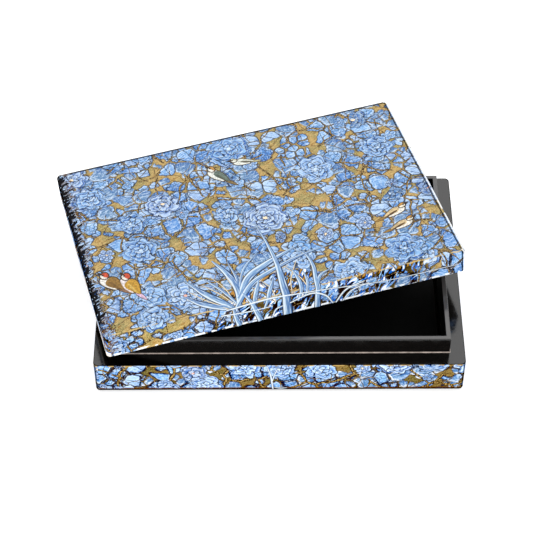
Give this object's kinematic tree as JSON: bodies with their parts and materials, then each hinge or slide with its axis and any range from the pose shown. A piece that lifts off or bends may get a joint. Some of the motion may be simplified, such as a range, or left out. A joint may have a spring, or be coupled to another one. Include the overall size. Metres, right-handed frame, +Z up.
{
  "type": "papier-mache box",
  "caption": "Flat rectangular papier-mache box with a loose lift-off lid lying askew on its lipped base, black lacquered inside and painted with blue flowers on gold outside.",
  "frame": {"origin": "centre of the underside of the base", "axes": "+X along the long side of the base, to the right as seen from the front; -Y towards the front; +Z up, out of the open base"},
  "size_m": [0.29, 0.2351, 0.0736],
  "materials": {
    "black_lacquer": "gloss black lacquer over pressed paper pulp",
    "pulp_board": "raw pressed paper pulp",
    "lining_paper": "satin black lacquered paper",
    "painted_paper": "blue flowers painted on gold, varnished"
  },
  "bodies": {
    "base": {"base_underside": "lining_paper", "base_floor": "pulp_board", "floor_lining": "lining_paper", "base_skin": "painted_paper", "base_wall_front": "black_lacquer", "base_wall_right": "black_lacquer", "base_wall_back": "black_lacquer", "base_wall_left": "black_lacquer", "lip_front": "black_lacquer", "lip_right": "black_lacquer", "lip_back": "black_lacquer", "lip_left": "black_lacquer"},
    "lid": {"lid_top": "pulp_board", "lid_lining": "lining_paper", "lid_skin": "painted_paper", "lid_wall_front": "black_lacquer", "lid_wall_right": "black_lacquer", "lid_wall_back": "black_lacquer", "lid_wall_left": "black_lacquer"}
  },
  "joints": [
    {"name": "lid_lift", "type": "slide", "parent": "base", "child": "lid", "axis": [0, 0, 1], "range_m": [0, 0.06]}
  ]
}
